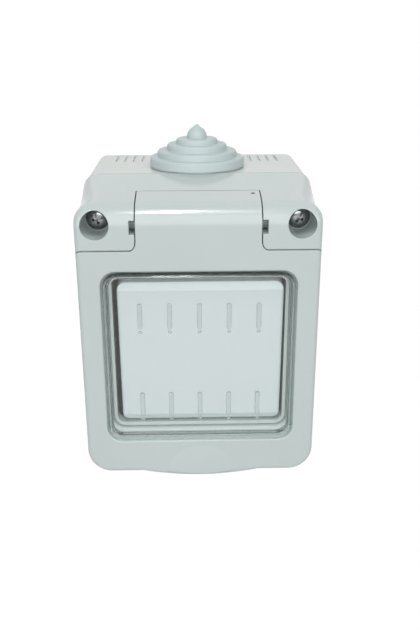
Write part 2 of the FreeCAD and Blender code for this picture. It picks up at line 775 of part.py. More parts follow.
bind(ball, "Placement.Base.z", "-half_height - lip_drop")
bulge_depths = ("lid_front - over", "lid_front + bulge_rise + over")
lip_bulge = common("lip_bulge", [
    ball,
    rod_out("bulge_round", lip_radius + " - edge_round", "0", lip_centre, bulge_depths),
    box("bulge_box", lip_span, bulge_depths, lip_zone),
])
lid_cuts = [rounded_box("lid_cavity", ("-half_width + skirt_wall", "half_width - skirt_wall"),
                        ("lid_rear - over", "lid_inner"), ("lid_cavity_low", "lid_cavity_top"),
                        value("cover_corner") - value("skirt_wall"))]
lid_cuts.append(tongue_hollow)
lid_cuts.append(framed("lid_opening", "opening_width / 2", "opening_height / 2",
                       ("lid_rear", "lid_front + over"), value("opening_corner"), z="window_z"))
tongue_edge = value("tongue_half")
for side, sign in sides:
    reach = ("tongue_half", "half_width + over")
    if sign:
        reach = ("-half_width - over", "-tongue_half")
    body = rod_across("ear_room_body_" + side, "ear_radius + lid_gap", reach, "hinge_depth", "hinge_z")
    edge_at = -tongue_edge if sign else tongue_edge

    def tongue_rim(edge, edge_at=edge_at):
        return abs(edge.BoundBox.XMin - edge_at) < 0.01 and abs(edge.BoundBox.XMax - edge_at) < 0.01

    lid_cuts.append(rounded("ear_room_" + side, body, value("ear_corner") + value("lid_gap"), tongue_rim))
lid_shell = cut("lid_shell", fuse("lid_full", [lid_block, tongue, lip_plate, lip_bulge]), lid_cuts)


def opening_edge(edge):
    span = edge.BoundBox
    inside = max(-span.XMin, span.XMax) < value("opening_width") / 2 + 0.01
    below = span.ZMax < value("window_z") + value("opening_height") / 2 + 0.01
    above = span.ZMin > value("window_z") - value("opening_height") / 2 - 0.01
    return at_depth(value("lid_front"))(edge) and inside and below and above


lid_parts = [rounded("lid_frame", lid_shell, value("opening_round"), opening_edge)]
for side, sign in sides:
    reach = ("tongue_half - over", "ear_inner + pin_length")
    if sign:
        reach = ("-ear_inner - pin_length", "over - tongue_half")
    lid_parts.append(rod_across("hinge_pin_" + side, "pin_radius", reach, "hinge_depth", "hinge_z"))
settle(fuse("lid_whole", lid_parts), "hinged_lid")

# clear membrane with a flange behind the lid wall and ten grip ribs
pane = framed("pane", "opening_width / 2 - window_fit", "opening_height / 2 - window_fit",
              ("flange_rear", "window_front"), value("opening_corner") - value("window_fit"), z="window_z")
pane = rounded("pane_soft", pane, value("window_round"), at_depth(value("window_front")))
pane_room = framed("pane_room", "clear_half_width", "clear_half_height",
                   ("flange_rear - over", "window_front - window_wall"), value("clear_corner"), z="window_z")
flange = framed("flange", "opening_width / 2 + flange_margin", "opening_height / 2 + flange_margin",
                ("flange_rear", "lid_inner"), value("opening_corner") + value("flange_margin"), z="window_z")
window_parts = [cut("pane_shell", fuse("pane_full", [pane, flange]), [pane_room])]
for name, sign in (("low", "-"), ("high", "+")):
    for number in (-2, -1, 0, 1, 2):
        rib = slot("rib_%s_%d" % (name, number + 2), "(%d * rib_spacing)" % number,
                   "(window_z %s rib_row)" % sign, "rib_width", "rib_length",
                   ("window_front - window_wall / 2", "window_front + rib_rise"))
        window_parts.append(rib)
settle(fuse("window_whole", window_parts), "lid_window")

# frame that traps the flange inside the lid
retainer_plate = rounded_box("retainer_plate", ("-half_width + skirt_wall + retainer_fit",
                                                "half_width - skirt_wall - retainer_fit"),
                             ("retainer_rear", "flange_rear"),
                             ("lid_cavity_low + retainer_fit", "lid_cavity_top - retainer_fit"),
                             value("cover_corner") - value("skirt_wall") - value("retainer_fit"))
retainer_way = framed("retainer_way", "clear_half_width", "clear_half_height",
                      ("retainer_rear - over", "lid_inner"), value("clear_corner"), z="window_z")
settle(cut("retainer_cut", retainer_plate, [retainer_way]), "window_retainer")

# soft ring between the lid and the panel, around the collar
seal_outer = framed("seal_outer", "clear_half_width + seal_width", "clear_half_height + seal_width",
                    ("panel_front + seal_gap", "retainer_rear"),
                    value("clear_corner") + value("seal_width"), z="window_z")
seal_inner = framed("seal_inner", "clear_half_width", "clear_half_height",
                    ("panel_front + seal_gap - over", "retainer_rear + over"), value("clear_corner"),
                    z="window_z")
settle(cut("seal_cut", seal_outer, [seal_inner]), "lid_seal")

# rocker, modelled about its pivot and then tilted with its upper edge out
pivot = ("mech_shift", "pivot_depth", "window_z")
key = framed("key", "rocker_width / 2", "rocker_height / 2", ("rocker_face - rocker_skirt", "rocker_face"),
             value("rocker_corner"))
key = rounded("key_soft", key, value("rocker_round"), at_depth(value("rocker_face")))
key_back = "rocker_face - rocker_skirt - over"
brow_back = "rocker_face - rocker_brow_depth * (1 + over / rocker_brow)"
key_brow = profile("key_brow", [
    (key_back, "-rocker_height / 2 - over"),
    (key_back, "rocker_height / 2 + over"),
    (brow_back, "rocker_height / 2 + over"),
    ("rocker_face", "rocker_height / 2 - rocker_brow"),
    ("rocker_face", "rocker_brow - rocker_height / 2"),
    (brow_back, "-rocker_height / 2 - over"),
], ("-rocker_width / 2 - over", "rocker_width / 2 + over"))
key = common("key_block", [key, key_brow])
key_room = framed("key_room", "rocker_width / 2 - rocker_wall", "rocker_height / 2 - rocker_wall",
                  ("rocker_face - rocker_skirt - over", "rocker_face - rocker_wall"), value("room_corner"))
key_parts = [cut("key_shell", key, [key_room])]
for side, sign in sides:
    skirt = ("rocker_width / 2 - rocker_wall", "rocker_width / 2")
    pin = ("rocker_width / 2 - rocker_wall - pivot_length", "rocker_width / 2 - over")
    if sign:
        skirt = ("-rocker_width / 2", "rocker_wall - rocker_width / 2")
        pin = ("over - rocker_width / 2", "rocker_wall + pivot_length - rocker_width / 2")
    key_parts.append(box("key_lug_" + side, skirt, ("-lug_back", "rocker_face - rocker_skirt + over"),
                         ("-lug_half", "lug_half")))
    key_parts.append(rod_across("key_pin_" + side, "pivot_radius", pin, "0", "0"))
key_parts.append(rod_out("key_tube", "tube_radius", "0", "0",
                         ("-tube_back", "rocker_face - rocker_wall / 2")))
key_bore = rod_out("key_bore", "plunger_radius + plunger_fit", "0", "0",
                   ("-tube_back - over", "rocker_face - rocker_wall"))
settle(cut("key_cut", fuse("key_full", key_parts), [key_bore]), "rocker", pivot, "rocker_tilt")

plunger_stem = rod_out("plunger_stem", "plunger_radius", "0", "0",
                       ("plunger_radius - plunger_tip", "-plunger_top"))
plunger_nose = doc.addObject("Part::Sphere", "plunger_nose")
bind(plunger_nose, "Radius", "plunger_radius")
bind(plunger_nose, "Placement.Base.y", "plunger_tip - plunger_radius")
settle(fuse("plunger_full", [plunger_stem, plunger_nose]), "rocker_plunger", pivot, "rocker_tilt")

coil = doc.addObject("Part::Helix", "spring_path")
bind(coil, "Radius", "spring_radius")
bind(coil, "Pitch", "spring_pitch")
bind(coil, "Height", "rocker_face - rocker_wall + plunger_top - (spring_wire + spring_seat) * 2")
wire = doc.addObject("Part::Circle", "spring_section")
bind(wire, "Radius", "spring_wire")
wire.Placement = Placement(Vector(0, 0, 0), Rotation(Vector(1, 0, 0), 90))
bind(wire, "Placement.Base.x", "spring_radius")
spring = doc.addObject("Part::Sweep", "spring_sweep")
spring.Sections = [wire]
doc.recompute()
spring.Spine = (coil, ["Edge%d" % number for number in range(1, len(coil.Shape.Edges) + 1)])
spring.Solid = True
spring.Frenet = True
spring_lie = group("spring_lie", [spring])
spring_lie.Placement = Placement(Vector(0, 0, 0), Rotation(Vector(1, 0, 0), 90))
bind(spring_lie, "Placement.Base.y", "plunger_top - spring_wire - spring_seat")
settle(group("spring_seat", [spring_lie]), "plunger_spring", pivot, "rocker_tilt")

# contact block on the posts of the box
middle = "mech_shift"


def about(half):
    return ("mech_shift - (%s)" % half, "mech_shift + %s" % half)


def level(low, high):
    return ("window_z + " + low, "window_z + " + high)


block_outer = framed("block_outer", "block_half_width", "block_half_height", ("block_rear", "block_front"),
                     value("block_corner"), x=middle, z="window_z")
block_room = framed("block_room", "block_half_width - block_wall", "block_half_height - block_wall",
                    ("block_floor", "block_front + over"), value("room_corner"), x=middle, z="window_z")
block_parts = [cut("block_tray", block_outer, [block_room])]
block_holes = []
for side, sign in sides:
    lug = ("mech_shift + block_half_width - block_wall", "mech_shift + block_half_width + lug_reach")
    if sign:
        lug = ("mech_shift - block_half_width - lug_reach", "mech_shift - block_half_width + block_wall")
    block_parts.append(box("block_lug_" + side, lug, ("block_rear", "block_rear + lug_thickness"),
                           level("-lug_half - over", "lug_half + over")))
    block_holes.append(rod_out("lug_hole_" + side, "fixing_radius + fixing_fit",
                               "mech_shift + %s1 * fixing_x" % sign, "window_z",
                               ("block_rear - over", "block_rear + lug_thickness + over")))
clamp_middle = "clamp_end - clamp_length / 2"
clamps = (("common", "0", "1"), ("load", "load_clamp_x", "-1"))
for name, x, sign in clamps:
    block_holes.append(rod_out("wire_entry_" + name, "wire_entry", "mech_shift + " + x,
                               "window_z + %s * (%s)" % (sign, clamp_middle),
                               ("block_rear - over", "block_floor + over")))
    low = "block_half_height - block_wall - over"
    high = "block_half_height + over"
    span = level(low, high)
    if sign == "-1":
        span = level("-(%s)" % high, "-(%s)" % low)
    block_holes.append(rod_up("driver_way_" + name, "clamp_screw_head + driver_clear", "mech_shift + " + x,
                              "plate_front + clamp_screw_rise", span))
settle(cut("block_cut", fuse("block_full", block_parts), block_holes), "mechanism_body")

fixings = []
for side, sign in sides:
    fixings.append(cross_screw("fixing_" + side, "fixing_head", "fixing_head_height",
                               value("fixing_round"), "fixing_radius", "fixing_length",
                               "(block_rear + lug_thickness)",
                               "(mech_shift + %s1 * fixing_x)" % sign, "window_z"))
settle(group("fixing_pair", fixings), "mechanism_screws")

# cradle with two cheeks that carry the rocker
cradle_plate = framed("cradle_plate", "block_half_width", "block_half_height",
                      ("block_front", "block_front + cradle_plate"), value("block_corner"), x=middle,
                      z="window_z")
cradle_way = framed("cradle_way", "cradle_hole", "cradle_hole",
                    ("block_front - over", "block_front + cradle_plate + over"), value("room_corner"),
                    x=middle, z="window_z")
cradle_parts = [cut("cradle_frame", cradle_plate, [cradle_way])]
cradle_bores = []
for side, sign in sides:
    cheek = ("mech_shift + cheek_outer - cheek_wall", "mech_shift + cheek_outer")
    bore = ("mech_shift + cheek_outer - cheek_wall - over", "mech_shift + cheek_outer + over")
    if sign:
        cheek = ("mech_shift - cheek_outer", "mech_shift - cheek_outer + cheek_wall")
        bore = ("mech_shift - cheek_outer - over", "mech_shift - cheek_outer + cheek_wall + over")
    cradle_parts.append(box("cheek_" + side, cheek,
                            ("block_front + cradle_plate / 2", "pivot_depth + cheek_top"),
                            level("-lug_half", "lug_half")))
    cradle_bores.append(rod_across("cheek_bore_" + side, "pivot_radius + pivot_fit", bore, "pivot_depth",
                                   "window_z"))
settle(cut("cradle_cut", fuse("cradle_full", cradle_parts), cradle_bores), "rocker_cradle")

# see-saw contact, modelled about its trunnions and tilted open
seat = ("mech_shift", "blade_depth", "window_z")
half_blade = "blade_thickness / 2"
blade_strip = box("blade_strip", ("-blade_half_width", "blade_half_width"),
                  ("-blade_thickness / 2", half_blade), ("-blade_low", "blade_high"))
blade_axle = rod_across("blade_axle", "trunnion_radius",
                        ("-fork_inner - plate_thickness", "fork_inner + plate_thickness"), "0", "0")
settle(fuse("blade_full", [blade_strip, blade_axle]), "contact_blade", seat, "-blade_tilt")
moving_tip = rod_out("moving_tip", "tip_radius", "0", "-tip_low",
                     ("-blade_thickness / 2 - tip_height", "-blade_thickness / 2"))
settle(group("moving_tip_seat", [moving_tip]), "moving_contact_tip", seat, "-blade_tilt")

# conductor with the fork of the see-saw, running up to its clamp
fork_parts = [box("common_plate", about("fork_inner + plate_thickness"), ("block_floor", "plate_front"),
                  level("-fork_half", "clamp_end"))]
fork_cuts = [rod_out("common_wire", "wire_radius", middle, "window_z + " + clamp_middle,
                     ("block_floor - over", "plate_front + over"))]
for side, sign in sides:
    prong = ("mech_shift + fork_inner", "mech_shift + fork_inner + plate_thickness")
    if sign:
        prong = ("mech_shift - fork_inner - plate_thickness", "mech_shift - fork_inner")
    fork_parts.append(box("prong_" + side, prong, ("block_floor", "blade_depth + fork_top"),
                          level("-fork_half", "fork_half")))
fork_span = about("fork_inner + plate_thickness + over")
fork_cuts.append(rod_across("fork_seat", "trunnion_radius + trunnion_fit", fork_span,
                            "blade_depth", "window_z"))
fork_cuts.append(box("fork_slot", fork_span, ("blade_depth", "blade_depth + fork_top + over"),
                     level("-trunnion_radius - trunnion_fit", "trunnion_radius + trunnion_fit")))
settle(cut("fork_cut", fuse("fork_full", fork_parts), fork_cuts), "common_terminal")

# conductor with the shelf of the fixed contact, running aside to its clamp
closed_face = ("(blade_depth - (blade_thickness / 2 + tip_height) * cos(blade_tilt)"
               " - (tip_low + tip_radius) * sin(blade_tilt) - contact_gap)")
shelf_top = "(%s - tip_height)" % closed_face
shelf_parts = [box("shelf_top", about("clamp_half"), (shelf_top + " - plate_thickness", shelf_top),
                   level("-shelf_low", "-shelf_high"))]
shelf_parts.append(box("shelf_riser", about("clamp_half"), ("block_floor", shelf_top),
                       level("-shelf_low - plate_thickness", "-shelf_low + bend_overlap")))
shelf_parts.append(box("shelf_foot", ("mech_shift - clamp_half", "mech_shift + load_clamp_x + clamp_half"),
                       ("block_floor", "plate_front"), level("-clamp_end", "-shelf_low + bend_overlap")))
shelf_parts.append(box("shelf_pad", ("mech_shift + load_clamp_x - clamp_half",
                                     "mech_shift + load_clamp_x + clamp_half"),
                       ("block_floor", "plate_front"), level("-clamp_end", "clamp_length - clamp_end")))
shelf_wire = rod_out("load_wire", "wire_radius", "mech_shift + load_clamp_x",
                     "window_z - (%s)" % clamp_middle, ("block_floor - over", "plate_front + over"))
settle(cut("shelf_cut", fuse("shelf_full", shelf_parts), [shelf_wire]), "load_terminal")
settle(rod_out("fixed_tip", "tip_radius", middle, "window_z - tip_low", (shelf_top, closed_face)),
       "fixed_contact_tip")

# wire clamps and their screws
clamp_blocks = []
clamp_screws = []
for name, x, sign in clamps:
    low = "clamp_end - clamp_length"
    high = "clamp_end"
    hole_low = "%s - clamp_screw_length - clamp_hole_spare" % high
    hole_high = "%s + over" % high
    stem_low = "%s - clamp_screw_length" % high
    stem_high = "%s + over / 2" % high
    head_low = high
    head_high = "%s + clamp_screw_head_height" % high
    slot_low = "%s - driver_slot_depth" % head_high
    slot_high = "%s + over" % head_high
    spans = []
    for bottom, top in ((low, high), (hole_low, hole_high), (stem_low, stem_high),
                        (head_low, head_high), (slot_low, slot_high)):
        if sign == "1":
            spans.append(level(bottom, top))
        else:
            spans.append(level("-(%s)" % top, "-(%s)" % bottom))
    centre = "mech_shift + " + x
    body = box("clamp_body_" + name, ("%s - clamp_half" % centre, "%s + clamp_half" % centre),
               ("plate_front", "plate_front + clamp_height"), spans[0])
    wire_way = rod_out("clamp_wire_" + name, "wire_radius", centre,
                       "window_z + %s * (%s)" % (sign, clamp_middle),
                       ("plate_front - over", "plate_front + clamp_height + over"))
    screw_way = rod_up("clamp_hole_" + name, "clamp_screw_radius + thread_fit", centre,
                       "plate_front + clamp_screw_rise", spans[1])
    clamp_blocks.append(cut("clamp_" + name, body, [wire_way, screw_way]))
    stem = rod_up("clamp_stem_" + name, "clamp_screw_radius", centre,
                  "plate_front + clamp_screw_rise", spans[2])
    head = rod_up("clamp_head_" + name, "clamp_screw_head", centre,
                  "plate_front + clamp_screw_rise", spans[3])
    groove = box("clamp_groove_" + name,
                 ("%s - clamp_screw_head - over" % centre, "%s + clamp_screw_head + over" % centre),
                 ("plate_front + clamp_screw_rise - driver_slot / 2",
                  "plate_front + clamp_screw_rise + driver_slot / 2"), spans[4])
    clamp_screws.append(cut("clamp_screw_" + name, fuse("clamp_screw_whole_" + name, [stem, head]), [groove]))
settle(group("clamp_pair", clamp_blocks), "terminal_clamps")
settle(group("clamp_screw_pair", clamp_screws), "terminal_screws")

doc.recompute()
for item in doc.Objects:
    if "Invalid" in item.State or "Error" in item.State:
        raise RuntimeError("not built: %s %s" % (item.Name, item.State))
os.makedirs("parts", exist_ok=True)
for item in nodes:
    if item.Shape.isNull() or not item.Shape.isValid():
        raise RuntimeError("bad shape: " + item.Label)
    item.Shape.exportStep("parts/%s.step" % item.Label)
    print(item.Label, len(item.Shape.Solids), round(item.Shape.Volume, 2))
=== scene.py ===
import math
import bmesh
import bpy
from mathutils import Euler, Matrix, Vector


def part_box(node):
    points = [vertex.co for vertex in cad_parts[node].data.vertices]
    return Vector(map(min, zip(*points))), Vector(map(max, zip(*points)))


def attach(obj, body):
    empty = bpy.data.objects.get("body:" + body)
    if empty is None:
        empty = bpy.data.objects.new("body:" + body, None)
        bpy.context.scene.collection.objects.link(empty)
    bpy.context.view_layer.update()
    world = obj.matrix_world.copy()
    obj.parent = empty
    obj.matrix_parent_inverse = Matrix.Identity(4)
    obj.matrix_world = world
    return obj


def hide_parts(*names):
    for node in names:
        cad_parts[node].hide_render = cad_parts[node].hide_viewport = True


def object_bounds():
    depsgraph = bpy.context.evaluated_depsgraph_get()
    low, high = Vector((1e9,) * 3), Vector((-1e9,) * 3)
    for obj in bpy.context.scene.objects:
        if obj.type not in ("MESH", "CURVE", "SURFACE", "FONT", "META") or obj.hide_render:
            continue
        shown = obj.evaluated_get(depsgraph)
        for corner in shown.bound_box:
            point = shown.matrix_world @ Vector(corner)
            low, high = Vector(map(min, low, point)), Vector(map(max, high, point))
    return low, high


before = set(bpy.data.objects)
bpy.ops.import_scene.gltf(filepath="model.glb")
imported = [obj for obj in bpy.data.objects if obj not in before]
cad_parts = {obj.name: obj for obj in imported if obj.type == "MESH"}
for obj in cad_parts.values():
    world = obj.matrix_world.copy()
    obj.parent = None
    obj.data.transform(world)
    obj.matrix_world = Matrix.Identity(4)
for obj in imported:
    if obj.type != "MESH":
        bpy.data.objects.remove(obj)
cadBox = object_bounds()
scene = bpy.context.scene
mm = 0.001
same = 1e-7   # metres, anything closer counts as one height
print("frame loaded:", len(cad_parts), "nodes")


# small helpers for node trees
def startMaterial(name):
    material = bpy.data.materials.new(name)
    material.use_nodes = True
    tree = material.node_tree
    return material, tree, tree.nodes["Principled BSDF"]


def addNode(tree, kind, inputs=None, **settings):
    node = tree.nodes.new(kind)
    for key, item in settings.items():
        setattr(node, key, item)
    for key, item in (inputs or {}).items():
        node.inputs[key].default_value = item
    return node


def wire(tree, source, target):
    tree.links.new(source, target)


def objectNoise(tree, scale, detail, stretch=None):
    coords = addNode(tree, "ShaderNodeTexCoord")
    spot = coords.outputs["Object"]
    if stretch:
        mapping = addNode(tree, "ShaderNodeMapping", {"Scale": stretch})
        wire(tree, spot, mapping.inputs["Vector"])
        spot = mapping.outputs["Vector"]
    noise = addNode(tree, "ShaderNodeTexNoise", {"Scale": scale, "Detail": detail, "Roughness": 0.5})
    wire(tree, spot, noise.inputs["Vector"])
    return noise.outputs["Fac"]


# noise keeps mostly between the two from values, so those are stretched to the range asked for
def spread(tree, source, low, high, fromLow=0.3, fromHigh=0.7):
    ramp = addNode(tree, "ShaderNodeMapRange", {"From Min": fromLow, "From Max": fromHigh,
                                                "To Min": low, "To Max": high})
    wire(tree, source, ramp.inputs["Value"])
    return ramp.outputs["Result"]


# sockets 6 and 7 of the mix node are its two colours, output 2 is the blend
def blendColours(tree, factor, first, second):
    mix = addNode(tree, "ShaderNodeMix", data_type="RGBA")
    wire(tree, factor, mix.inputs[0])
    for number, colour in ((6, first), (7, second)):
        if isinstance(colour, tuple):
            mix.inputs[number].default_value = (*colour, 1.0)
        else:
            wire(tree, colour, mix.inputs[number])
    return mix.outputs[2]


def softEdges(tree, radius, samples=6):
    bevel = addNode(tree, "ShaderNodeBevel", {"Radius": radius}, samples=samples)
    return bevel.outputs["Normal"]


def grain(tree, height, strength, distance, normal=None):
    bump = addNode(tree, "ShaderNodeBump", {"Strength": strength, "Distance": distance})
    wire(tree, height, bump.inputs["Height"])
    if normal:
        wire(tree, normal, bump.inputs["Normal"])
    return bump.outputs["Normal"]


# small dark spot painted at one place of a piece: painted shade of a tiny pit
def pitShadeMask(tree, pitShade):
    coords = addNode(tree, "ShaderNodeTexCoord")
    away = addNode(tree, "ShaderNodeVectorMath", {1: pitShade["place"]}, operation="DISTANCE")
    wire(tree, coords.outputs["Object"], away.inputs[0])
    return spread(tree, away.outputs["Value"], 1.0, 0.0, pitShade["radius"] * pitShade["core"], pitShade["radius"])


# moulded plastic: slow colour drift, fine spark grain, edges a touch paler where they rub, and on the rocker
# paler still as a painted highlight along its creases
def mouldedPlastic(name, look):
    material, tree, shader = startMaterial(name)
    drift = spread(tree, objectNoise(tree, look["driftScale"], 3.0, look.get("flow")), 0.0, 1.0)
    colour = blendColours(tree, drift, look["colour"], look["colourTwo"])
    rounded = softEdges(tree, look["edge"])
    plain = addNode(tree, "ShaderNodeNewGeometry")
    match = addNode(tree, "ShaderNodeVectorMath", operation="DOT_PRODUCT")
    wire(tree, rounded, match.inputs[0])
    wire(tree, plain.outputs["Normal"], match.inputs[1])
    # paler edges: wear, and on the rocker a painted highlight along its creases
    rubAndHighlight = spread(tree, match.outputs["Value"], look["edgeWearAndHighlight"], 0.0, *look["rubAndHighlight"])
    wearAndPaintedLight = blendColours(tree, rubAndHighlight, colour, look["wornAndHighlightColour"])
    # dark spot: painted shade of a tiny pit
    if "pitShade" in look:
        wearAndPaintedLight = blendColours(tree, pitShadeMask(tree, look["pitShade"]), wearAndPaintedLight, look["pitShade"]["colour"])
    wire(tree, wearAndPaintedLight, shader.inputs["Base Color"])
    gloss = spread(tree, objectNoise(tree, look["glossScale"], 4.0), *look["roughness"])
    wire(tree, gloss, shader.inputs["Roughness"])
    sparks = objectNoise(tree, look["grainScale"], 2.0)
    fine = grain(tree, sparks, look["grain"], look["grainDepth"], rounded)
    swell = objectNoise(tree, look["waveScale"], 1.0)
    wave = grain(tree, swell, look["wave"], look["waveDepth"], fine)
    wire(tree, wave, shader.inputs["Normal"])
    shader.inputs["IOR"].default_value = look["ior"]
    shader.inputs["Specular IOR Level"].default_value = look["shine"]
    return material


coverLook = {"colour": (0.545, 0.617, 0.604), "colourTwo": (0.565, 0.632, 0.622), "driftScale": 45.0,
             "wornAndHighlightColour": (0.64, 0.70, 0.69), "edge": 0.00035, "edgeWearAndHighlight": 0.35, "rubAndHighlight": (0.75, 0.985),
             "glossScale": 160.0, "roughness": (0.11, 0.15), "shine": 0.5, "ior": 1.5,
             "grainScale": 2600.0, "grain": 0.12, "grainDepth": 0.00002,
             "waveScale": 120.0, "wave": 0.06, "waveDepth": 0.0003}
boxLook = {"colour": (0.745, 0.785, 0.762), "colourTwo": (0.720, 0.757, 0.730), "driftScale": 60.0,
           "flow": (1.0, 0.4, 1.0),
           "wornAndHighlightColour": (0.82, 0.84, 0.82), "edge": 0.0003, "edgeWearAndHighlight": 0.4, "rubAndHighlight": (0.75, 0.985),
           "glossScale": 150.0, "roughness": (0.36, 0.46), "shine": 0.45, "ior": 1.5,
           "grainScale": 2200.0, "grain": 0.3, "grainDepth": 0.00004,
           "waveScale": 140.0, "wave": 0.12, "waveDepth": 0.0004}
# the rocker's edge wear is raised and brightened into a painted highlight along its bevel crease
rockerLook = {"colour": (0.688, 0.746, 0.760), "colourTwo": (0.698, 0.756, 0.768), "driftScale": 50.0,
              "wornAndHighlightColour": (0.88, 0.93, 0.94), "edge": 0.0005, "edgeWearAndHighlight": 0.8, "rubAndHighlight": (0.95, 0.995),
              "glossScale": 130.0, "roughness": (0.237, 0.263), "shine": 0.5, "ior": 1.5,
              "grainScale": 3000.0, "grain": 0.12, "grainDepth": 0.00002,
              "waveScale": 110.0, "wave": 0.02, "waveDepth": 0.0003}
# mechanism plastic made near black so the gap beside the rocker shows dark: painted shade
blockShadeLook = {"colour": (0.080, 0.086, 0.088), "colourTwo": (0.098, 0.104, 0.106), "driftScale": 90.0,
             "wornAndHighlightColour": (0.15, 0.16, 0.16), "edge": 0.0002, "edgeWearAndHighlight": 0.5, "rubAndHighlight": (0.75, 0.985),
             "glossScale": 300.0, "roughness": (0.42, 0.55), "shine": 0.4, "ior": 1.5,
             "grainScale": 2400.0, "grain": 0.4, "grainDepth": 0.00005,
             "waveScale": 200.0, "wave": 0.1, "waveDepth": 0.0003}
# dark spot on the lid: painted shade of a tiny pit
pitShadeLook = {"place": (0.0158, -0.0526, 0.0415), "radius": 0.0008, "core": 0.6, "colour": (0.05, 0.06, 0.06)}
coverPlastic = mouldedPlastic("coverPlastic", coverLook)
lidPlastic = mouldedPlastic("lidPlastic", {**coverLook, "pitShade": pitShadeLook})
boxPlastic = mouldedPlastic("boxPlastic", boxLook)
rockerPlastic = mouldedPlastic("rockerPlastic", rockerLook)
blockShadePlastic = mouldedPlastic("blockShadePlastic", blockShadeLook)


# soft rubber: dull, a little cloudy, with a fine skin
def softRubber(name, look):
    material, tree, shader = startMaterial(name)
    cloud = spread(tree, objectNoise(tree, look["cloudScale"], 4.0), 0.0, 1.0)
    wire(tree, blendColours(tree, cloud, look["colour"], look["colourTwo"]), shader.inputs["Base Color"])
    gloss = spread(tree, objectNoise(tree, look["glossScale"], 3.0), *look["roughness"])
    wire(tree, gloss, shader.inputs["Roughness"])
    skin = objectNoise(tree, look["grainScale"], 3.0)
    fine = grain(tree, skin, look["grain"], look["grainDepth"], softEdges(tree, look["edge"]))
    wire(tree, fine, shader.inputs["Normal"])
    shader.inputs["Specular IOR Level"].default_value = look["shine"]
    return material


glandLook = {"colour": (0.525, 0.610, 0.612), "colourTwo": (0.560, 0.640, 0.640), "cloudScale": 90.0,
             "glossScale": 260.0, "roughness": (0.40, 0.52), "shine": 0.4, "edge": 0.0003,
             "grainScale": 1800.0, "grain": 0.35, "grainDepth": 0.00005}
sealLook = {"colour": (0.060, 0.066, 0.066), "colourTwo": (0.085, 0.092, 0.092), "cloudScale": 120.0,
            "glossScale": 300.0, "roughness": (0.55, 0.7), "shine": 0.35, "edge": 0.0003,
            "grainScale": 2000.0, "grain": 0.5, "grainDepth": 0.00006}
# lid seal made pale so the shaded band seen through the membrane's lower edge comes out lighter: painted
# light
paleLitLook = {"colour": (0.79, 0.85, 0.84), "colourTwo": (0.81, 0.87, 0.86), "cloudScale": 120.0,
            "glossScale": 300.0, "roughness": (0.5, 0.62), "shine": 0.35, "edge": 0.0003,
            "grainScale": 2000.0, "grain": 0.4, "grainDepth": 0.00005}
glandRubber = softRubber("glandRubber", glandLook)
sealRubber = softRubber("sealRubber", sealLook)
paleLitRubber = softRubber("paleLitRubber", paleLitLook)


# metal: patches of shade and brushed streaks in the roughness
def platedMetal(name, look):
    material, tree, shader = startMaterial(name)
    patch = spread(tree, objectNoise(tree, look["patchScale"], 4.0), 0.0, 1.0)
    wire(tree, blendColours(tree, patch, look["colour"], look["colourTwo"]), shader.inputs["Base Color"])
    streak = objectNoise(tree, look["streakScale"], 3.0, look["streak"])
    wire(tree, spread(tree, streak, *look["roughness"]), shader.inputs["Roughness"])
    brushed = grain(tree, streak, look["grain"], look["grainDepth"], softEdges(tree, look["edge"]))
    wire(tree, brushed, shader.inputs["Normal"])
    shader.inputs["Metallic"].default_value = 1.0
    return material


screwLook = {"colour": (0.38, 0.39, 0.39), "colourTwo": (0.24, 0.25, 0.25), "patchScale": 700.0,
             "streakScale": 1500.0, "streak": (1.0, 1.0, 0.25), "roughness": (0.06, 0.14),
             "grain": 0.2, "grainDepth": 0.00002, "edge": 0.00012}
brassLook = {"colour": (0.72, 0.52, 0.22), "colourTwo": (0.60, 0.42, 0.17), "patchScale": 500.0,
             "streakScale": 1300.0, "streak": (1.0, 0.3, 1.0), "roughness": (0.22, 0.38),
             "grain": 0.3, "grainDepth": 0.00002, "edge": 0.00012}
silverLook = {"colour": (0.82, 0.81, 0.79), "colourTwo": (0.70, 0.69, 0.67), "patchScale": 900.0,
              "streakScale": 1800.0, "streak": (0.4, 1.0, 1.0), "roughness": (0.2, 0.34),
              "grain": 0.25, "grainDepth": 0.00002, "edge": 0.00012}
zincSteel = platedMetal("zincSteel", screwLook)
terminalBrass = platedMetal("terminalBrass", brassLook)
contactSilver = platedMetal("contactSilver", silverLook)


# clear plastic: soft and clear with faint moulding waves; a dark tint, or a part that isn't fully clear, is
# painted shade on the rib flanks, rib tops and rim edge
def clearPlastic(name, look):
    material, tree, shader = startMaterial(name)
    shader.inputs["Base Color"].default_value = (*look["tint"], 1.0)
    shader.inputs["Transmission Weight"].default_value = look["clear"]
    shader.inputs["IOR"].default_value = look["ior"]
    gloss = spread(tree, objectNoise(tree, look["glossScale"], 4.0), *look["roughness"])
    wire(tree, gloss, shader.inputs["Roughness"])
    wave = grain(tree, objectNoise(tree, look["waveScale"], 2.0), look["wave"], look["waveDepth"])
    wire(tree, wave, shader.inputs["Normal"])
    # light falls straight through, so what lies behind is lit as it would be
    path = addNode(tree, "ShaderNodeLightPath")
    either = addNode(tree, "ShaderNodeMath", operation="MAXIMUM")
    wire(tree, path.outputs["Is Shadow Ray"], either.inputs[0])
    wire(tree, path.outputs["Is Diffuse Ray"], either.inputs[1])
    straight = addNode(tree, "ShaderNodeBsdfTransparent", {"Color": (*look["through"], 1.0)})
    mix = addNode(tree, "ShaderNodeMixShader")
    wire(tree, either.outputs["Value"], mix.inputs[0])
    wire(tree, shader.outputs["BSDF"], mix.inputs[1])
    wire(tree, straight.outputs["BSDF"], mix.inputs[2])
    wire(tree, mix.outputs["Shader"], tree.nodes["Material Output"].inputs["Surface"])
    return material


membraneLook = {"tint": (0.985, 0.995, 0.993), "clear": 1.0, "ior": 1.44, "through": (0.965, 0.978, 0.975),
                "glossScale": 220.0, "roughness": (0.012, 0.03),
                "waveScale": 150.0, "wave": 0.008, "waveDepth": 0.0003}
